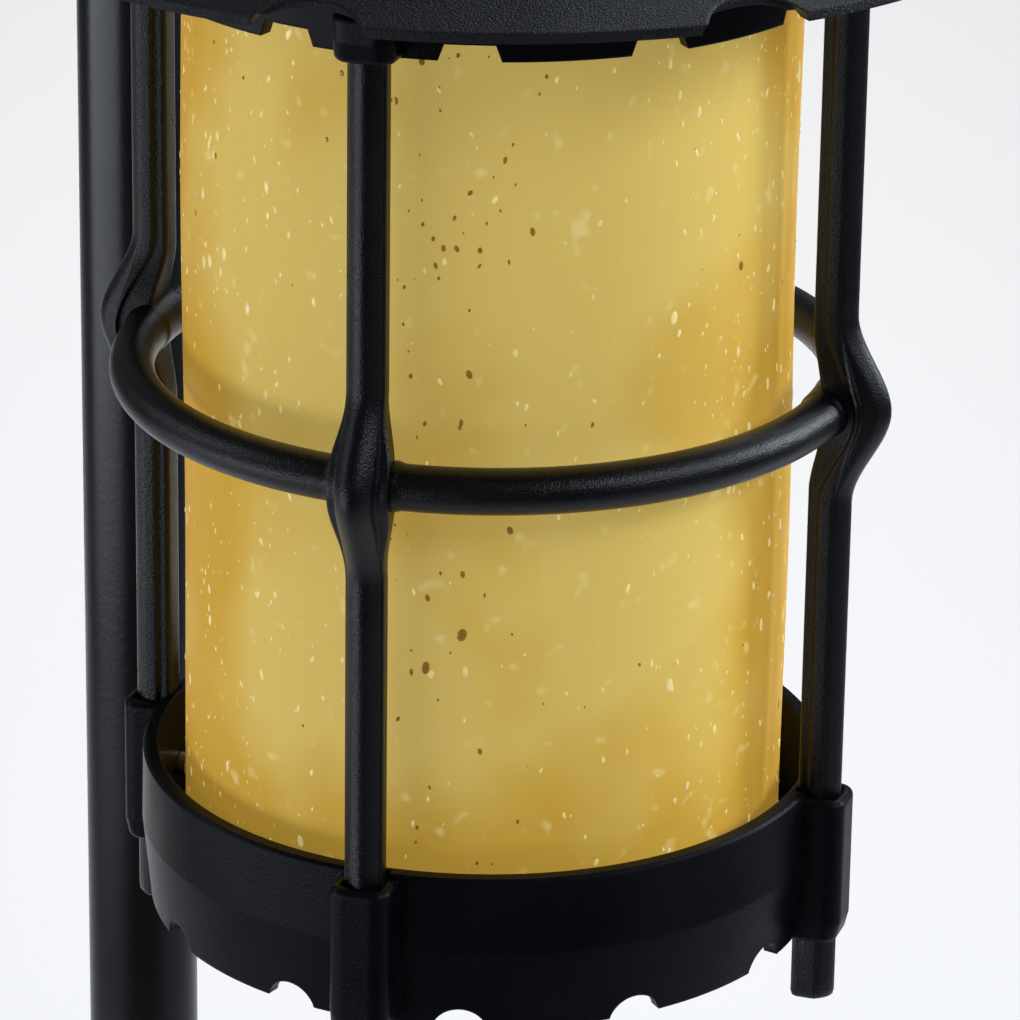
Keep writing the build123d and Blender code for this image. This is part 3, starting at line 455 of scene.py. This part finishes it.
def makeSeeds(kind):
    # every seed is the same dome, stretched along the glass, tilted a little and set on its wall;
    # a random draw keeps more of them near the middle of each zone, a bell curve of the angle in degrees
    look = seeds[kind]
    draw = np.random.default_rng(look["drawFrom"])
    angle = draw.uniform(0, 360, look["tries"])
    lowest, highest = glass["low"] + everySeed["aboveFoot"], glass["high"] - everySeed["belowRim"]
    height = draw.uniform(lowest, highest, look["tries"])
    chance = look["floor"] + sum(
        weight * np.exp(-(((angle - middle + 180) % 360 - 180) / width) ** 2)
        for middle, width, weight in look["zones"])
    share = (height - glass["low"]) / (glass["high"] - glass["low"])
    chance = chance * (look["lower"] + (1 - look["lower"]) * everySeed["upperGain"] * share)
    kept = draw.uniform(0, 1, look["tries"]) < chance
    angle, height = np.radians(angle[kept])[:, None], height[kept][:, None]
    count = len(angle)
    length = np.minimum(look["size"] * np.exp(draw.normal(0, look["spread"], count)), everySeed["most"])
    width = (length * draw.uniform(*look["slim"], count))[:, None]
    length = length[:, None]
    tilt = draw.normal(0, everySeed["tilt"], count)[:, None]
    domeAcross, domeAlong, lift, quads, fans = seedDome()
    across, along = domeAcross * width, domeAlong * length
    around = angle + (across * np.cos(tilt) - along * np.sin(tilt)) / glass["outer"]
    level = height + across * np.sin(tilt) + along * np.cos(tilt)
    rise = look["rise"] * lift * np.minimum(width / everySeed["fullWidth"], 1)
    points = aroundAxis(glassRadius(around, level) - everySeed["sink"] + rise, around, level)
    start = (np.arange(count) * len(lift))[:, None, None]
    faces = (quads + start).reshape(-1, 4).tolist() + (fans + start).reshape(-1, 3).tolist()
    print(kind, "seeds:", count)
    return meshPiece(kind + "Seeds", points.reshape(-1, 3), faces, sharpAngle=180)


def seedMaterial(kind):
    # the grain finish in the seed's painted colour, a painted glint or a painted dark reflection, with a
    # painted glow of the same colour
    colour = seeds[kind]["colour"]
    shaded = tuple(value * everySeed["shade"] for value in colour)
    material = grainMaterial(kind + "Seed", {**seedFinish, "dark": shaded, "light": colour})
    shader = material.node_tree.nodes["Principled BSDF"]
    colourSocket = shader.inputs["Base Color"].links[0].from_socket
    material.node_tree.links.new(colourSocket, shader.inputs["Emission Color"])
    setShader(shader, glow=seeds[kind]["glow"])
    return material


for kind in seeds:
    finishPiece(makeSeeds(kind), "cage", "amber_glass", seedMaterial(kind))
print("seeds made")


# Cage bars

bar = {    # radii from the lantern's axis and heights from the hoop
    "count": 4, "firstTurn": 45, "inner": 55.3, "strip": 57.3, "outer": 62.2, "width": 6.4, "webWidth": 5.0,
    "low": -104.2, "high": 76.1, "footTop": -92, "bevel": 1.5, "crown": 0.5, "draft": 0.4, "edge": 0.8,
    "jog": 6.0, "jogHeight": 16, "swell": 1.8, "swellLow": 3, "swellHigh": 14, "recess": 2.0,
    "ledgeDrop": 0.4, "shoulder": 2.0, "valley": 0.35,
    "nearReach": 1.4, "nearRows": 110, "farRows": 20, "endSteps": [0.0, 0.3, 1.2], "endDepth": 4,
    "endInset": [0.86, 0.95],
}


def barHeights():
    # close rows near the hoop, wide rows to either side, and a few more at each end for its rounding
    reach = bar["jogHeight"] * bar["nearReach"]
    near = np.linspace(-reach, reach, bar["nearRows"])
    ends = np.array(bar["endSteps"])
    below = np.linspace(bar["low"] + bar["endDepth"], near[0], bar["farRows"], endpoint=False)
    above = np.linspace(bar["high"] - bar["endDepth"], near[-1], bar["farRows"], endpoint=False)[::-1]
    return np.concatenate([bar["low"] + ends, below, near, above, bar["high"] - ends[::-1]])


def makeBar(number, angle):
    # a crowned strip with a narrower web behind it; near the hoop the strip swings out on a smooth step,
    # a ledge grows beside it, a valley apart from its side, and the web's inner edge draws back;
    # the first and last rows shrink towards their middle, which rounds the ends
    height = barHeights()
    away = np.abs(height)
    out = bar["jog"] * smoothStep(1 - away / bar["jogHeight"])
    swell = smoothStep((bar["swellHigh"] - away) / (bar["swellHigh"] - bar["swellLow"]))
    half = bar["width"] / 2 + 0 * height
    wide = half + bar["swell"] * swell
    web = np.where(height < bar["footTop"], half, bar["webWidth"] / 2 + bar["swell"] * swell)
    inner = bar["inner"] + bar["recess"] * swell
    strip, face = bar["strip"] + out, bar["outer"] + out - bar["crown"]
    ledge = face - bar["bevel"] - bar["ledgeDrop"] - bar["shoulder"] * swell
    side = np.stack([
        np.stack([inner, web], axis=-1),
        np.stack([strip, web], axis=-1),
        np.stack([strip, wide], axis=-1),
        np.stack([ledge, wide], axis=-1),
        np.stack([ledge, half - bar["draft"] + bar["valley"] * swell], axis=-1),
        np.stack([face - bar["bevel"], half - bar["draft"]], axis=-1),
        np.stack([face, half - bar["draft"] - bar["bevel"]], axis=-1),
    ], axis=1)
    ridge = np.stack([face + bar["crown"], 0 * height], axis=-1)[:, None]
    mirrored = side[:, ::-1] * np.array([1, -1])
    outline = roundedOutline(np.concatenate([side, ridge, mirrored], axis=1), bar["edge"])
    inset = np.ones((len(height), 1, 1))
    inset[:2, 0, 0] = bar["endInset"]
    inset[-2:, 0, 0] = bar["endInset"][::-1]
    middle = outline.mean(axis=1, keepdims=True)
    outline = middle + (outline - middle) * inset
    radius, across = outline[..., 0], outline[..., 1]
    x = axisX + (radius * np.cos(angle) - across * np.sin(angle)) * mm
    y = (radius * np.sin(angle) + across * np.cos(angle)) * mm
    z = np.broadcast_to(hoopZ + height[:, None] * mm, x.shape)
    return gridPiece("cageBar%d" % number, np.stack([x, y, z], axis=-1)[:, ::-1], sharpAngle=60)


for number in range(1, bar["count"] + 1):
    piece = makeBar(number, math.radians(bar["firstTurn"] + 360 / bar["count"] * (number - 1)))
    finishPiece(piece, "cage", "cage_plastic", materials["cagePlastic"], "cage_bar_%d" % number)
print("bars made")


# Guard hoop

hoop = {"radius": 58.1, "tube": 3.7, "hub": 0.35, "hubReach": 4.6, "hubFade": 1.2, "rows": 720, "columns": 32}


def makeHoop():
    # a circle carried round the lantern's axis; it thickens to a hub where it enters each bar
    around = np.linspace(0, 2 * np.pi, hoop["rows"], endpoint=False)[:, None]
    turn = np.linspace(0, 2 * np.pi, hoop["columns"], endpoint=False)[None, :]
    fromBar = np.abs(around % (np.pi / 2) - np.pi / 4) * hoop["radius"]
    hub = smoothStep((hoop["hubReach"] + hoop["hubFade"] - fromBar) / hoop["hubFade"])
    tube = hoop["tube"] + hoop["hub"] * hub
    points = aroundAxis(hoop["radius"] + tube * np.cos(turn), around, tube * np.sin(turn))
    return gridPiece("guardHoop", points[:, ::-1], wrapAlong=True)


finishPiece(makeHoop(), "cage", "cage_plastic", materials["cagePlastic"], "guard_hoop")
print("hoop made")


# Crook tube and lower pole, in millimetres from the ground and from the pole's own axis

pole = {
    "radius": 10.42, "wall": 1.0, "columns": 96, "crookFoot": 562, "crookCentre": 1027, "crookRadius": 73,
    "drop": 22, "legRows": 30, "arcRows": 80, "dropRows": 5, "lowerRows": 30,
}


def tubeAlong(name, centres, normals):
    # outside wall along the path and inside wall back down it, closed over both ends;
    # the path stays in the plane of x and z, so y is the second direction of every ring
    turn = np.linspace(0, 2 * np.pi, pole["columns"], endpoint=False)[None, :, None]
    ring = normals[:, None] * np.cos(turn) + np.array([0.0, 1.0, 0.0]) * np.sin(turn)
    outside = centres[:, None] + ring * pole["radius"]
    inside = centres[:, None] + ring * (pole["radius"] - pole["wall"])
    return gridPiece(name, np.concatenate([outside, inside[::-1]]) * mm, wrapAlong=True, sharpAngle=50)


def makeCrook():
    # straight up, half a circle over, a short drop; the normals lean with the path
    centre, radius = pole["crookCentre"], pole["crookRadius"]
    up = np.linspace(pole["crookFoot"], centre, pole["legRows"], endpoint=False)
    turn = np.linspace(0, np.pi, pole["arcRows"])
    down = np.linspace(centre, centre - pole["drop"], pole["dropRows"])[1:]
    lean = np.concatenate([0 * up, turn, 0 * down + np.pi])
    x = np.concatenate([0 * up, radius * (1 - np.cos(turn)), 0 * down + 2 * radius])
    z = np.concatenate([up, centre + radius * np.sin(turn), down])
    centres = np.stack([x, 0 * x, z], axis=-1)
    return tubeAlong("crookTube", centres, np.stack([np.cos(lean), 0 * lean, -np.sin(lean)], axis=-1))


def makeLowerPole():
    # a straight tube between the ends of its CAD node
    low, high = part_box("lower_pole")
    z = np.linspace(low.z / mm, high.z / mm, pole["lowerRows"])
    centres = np.stack([0 * z, 0 * z, z], axis=-1)
    return tubeAlong("lowerPole", centres, np.broadcast_to([1.0, 0.0, 0.0], centres.shape))


finishPiece(makeCrook(), "crook", "pole_paint", materials["polePaint"], "crook_tube")
finishPiece(makeLowerPole(), "ground_pole", "pole_paint", materials["polePaint"], "lower_pole")
print("pole made")


# Solar cell

solarCell = {
    "pitch": 0.0125, "gap": 0.0006, "finger": 0.0016, "fingerWide": 0.00012, "turn": 45,
    "cell": (0.004, 0.007, 0.022), "line": (0.32, 0.34, 0.37), "cloudSize": 0.004, "roughness": (0.1, 0.2),
    "coat": 0.6, "coatRoughness": 0.08,
}


def lineMask(tree, value, pitch, width):
    # one along evenly spaced lines: the distance to the nearest multiple of the pitch is under half the width
    return maths(tree, "LESS_THAN", maths(tree, "PINGPONG", value, pitch / 2), width / 2)


def solarMaterial():
    # dark blue silicon with broad gaps one way and fine contact fingers the other
    material, tree, shader = newMaterial("solarCell")
    place = turnedPoint(tree, solarCell["turn"])
    gaps = lineMask(tree, place.outputs["X"], solarCell["pitch"], solarCell["gap"])
    fingers = lineMask(tree, place.outputs["Y"], solarCell["finger"], solarCell["fingerWide"])
    lines = maths(tree, "MAXIMUM", gaps, fingers)
    colour = blendColours(tree, lines, solarCell["cell"], solarCell["line"])
    tree.links.new(colour, shader.inputs["Base Color"])
    cloud = noise(tree, objectPoint(tree), solarCell["cloudSize"])
    tree.links.new(remap(tree, cloud, noiseMiddle, solarCell["roughness"]), shader.inputs["Roughness"])
    setShader(shader, coat=solarCell["coat"], coatRoughness=solarCell["coatRoughness"])
    return material


materials["solarCell"] = solarMaterial()
print("solar cell made")


# Finishes for the pieces that keep their own shape

keptNodes = {
    "stakePlastic": ["ground_stake"],
    "joinerPlastic": ["pole_joiner", "crook_end_plug", "board_parts"],
    "blackWire": ["hanging_hook", "bail"],
    "ringPlastic": ["base_ring", "base_floor", "top_ring", "module_tray"],
    "roofPlastic": ["roof_shell", "panel_lid"],
    "blackRubber": ["glass_seat_ring", "glass_top_ring", "lid_seal", "power_button"],
    "screwSteel": ["bar_screws", "floor_screws", "tray_screws", "lid_screws", "column_screws"],
    "contactSteel": ["battery_contacts", "battery_spring"],
    "whitePlastic": ["led_column", "battery_holder", "switch_body"],
    "diffuserPlastic": ["flame_diffuser"],
    "circuitBoard": ["control_board", "led_sheet"],
    "ledResin": ["led_emitters"],
    "cellSleeve": ["battery_cell"],
    "solarCell": ["solar_panel"],
}
for name, nodes in keptNodes.items():
    for node in nodes:
        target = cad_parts[node]
        target.data.materials.clear()
        target.data.materials.append(materials[name])
print("finishes given")


# Floor and light

studio = {
    "floor": -0.187, "near": 1.0, "far": 4.6, "wide": 2.0, "rows": 12, "colour": (0.86, 0.86, 0.87),
    "skyColour": (0.93, 0.96, 1.0), "sky": 0.8, "fill": 0.09,    # how bright the sky looks, and what it gives
}
paper = {
    "dark": studio["colour"], "light": studio["colour"], "roughness": (0.8, 0.9), "cloudSize": 2.0,
    "grainSize": 0.02, "grainStrength": 0.05, "grainDepth": 0.0005,
}
lamps = {
    "rightPanel": {
        "turn": 110, "rise": 18, "distance": 1.6, "wide": 0.36, "tall": 0.5, "power": 14,
        "colour": (0.82, 0.89, 1.0),
    },
    "backRightPanel": {
        "turn": 150, "rise": 42, "distance": 1.9, "wide": 0.7, "tall": 0.7, "power": 8,
        "colour": (0.82, 0.9, 1.0),
    },
    "frontRightPanel": {
        "turn": 61, "rise": 32, "distance": 2.0, "wide": 1.45, "tall": 0.4, "power": 14,
        "colour": (0.85, 0.91, 1.0),
    },
    "leftPanel": {
        "turn": -98, "rise": 24, "distance": 1.8, "wide": 0.7, "tall": 0.5, "power": 3.4,
        "colour": (0.85, 0.91, 1.0),
    },
    "lowLeftPanel": {
        "turn": -66, "rise": -16, "distance": 1.6, "wide": 2.1, "tall": 0.4, "power": 9.5,
        "colour": (0.85, 0.9, 1.0),
    },
    "floorPanel": {
        "turn": 180, "rise": 31.5, "distance": 3.64, "wide": 2.6, "tall": 4.6, "power": 40,
        "colour": (1.0, 1.0, 1.0), "aim": (3.1, -1.0), "spread": 80,
    },
}


def makeFloor():
    # a flat floor, turned as the camera is
    right = np.linspace(-studio["wide"], studio["wide"], studio["rows"])
    ahead = np.linspace(-studio["near"], studio["far"], studio["rows"])
    across, away = np.meshgrid(right, ahead)
    yaw = math.radians(view["turn"])
    x = axisX + across * math.cos(yaw) - away * math.sin(yaw)
    y = across * math.sin(yaw) + away * math.cos(yaw)
    points = np.stack([x, y, studio["floor"] + 0 * x], axis=-1)
    index = np.arange(x.size).reshape(x.shape)
    faces = np.stack([index[:-1, :-1], index[:-1, 1:], index[1:, 1:], index[1:, :-1]], axis=-1).reshape(-1, 4)
    floor = meshPiece("studioFloor", points.reshape(-1, 3), faces.tolist())
    floor.data.materials.append(grainMaterial("studioPaper", paper))


def makeLamp(name, look):
    # a panel on a sphere round the lantern; turn counts from the camera's side towards its right;
    # aim is how far beyond and above the lantern it points, in metres
    yaw = math.radians(view["turn"] - 90 + look["turn"])
    level = math.radians(look["rise"])
    beyond, above = look.get("aim", (0, 0))
    heart = Vector((axisX, 0, hoopZ))
    target = heart + Matrix.Rotation(math.radians(view["turn"]), 4, "Z") @ Vector((0, beyond, above))
    outward = Vector((math.cos(yaw) * math.cos(level), math.sin(yaw) * math.cos(level), math.sin(level)))
    place = heart + look["distance"] * outward
    lamp = bpy.data.lights.new(name, "AREA")
    lamp.shape = "RECTANGLE"
    lamp.size = look["wide"]
    lamp.size_y = look["tall"]
    lamp.energy = look["power"]
    lamp.color = look["colour"]
    lamp.spread = math.radians(look.get("spread", 180))
    holder = bpy.data.objects.new(name, lamp)
    facing = (place - target).to_track_quat("Z", "Y").to_matrix().to_4x4()
    holder.matrix_world = Matrix.Translation(place) @ facing
    holder.visible_camera = False
    bpy.context.scene.collection.objects.link(holder)


def makeSky():
    # pale to look at, though it gives only a weak fill light
    world = bpy.data.worlds.new("studio")
    world.use_nodes = True
    tree = world.node_tree
    background = tree.nodes["Background"]
    background.inputs["Color"].default_value = (*studio["skyColour"], 1)
    cameraRay = addNode(tree, "ShaderNodeLightPath").outputs["Is Camera Ray"]
    strength = remap(tree, cameraRay, (0, 1), (studio["fill"], studio["sky"]))
    tree.links.new(strength, background.inputs["Strength"])
    bpy.context.scene.world = world
    bpy.context.scene.view_settings.view_transform = "Standard"


makeFloor()
for name, look in lamps.items():
    makeLamp(name, look)
makeSky()
print("studio lit")
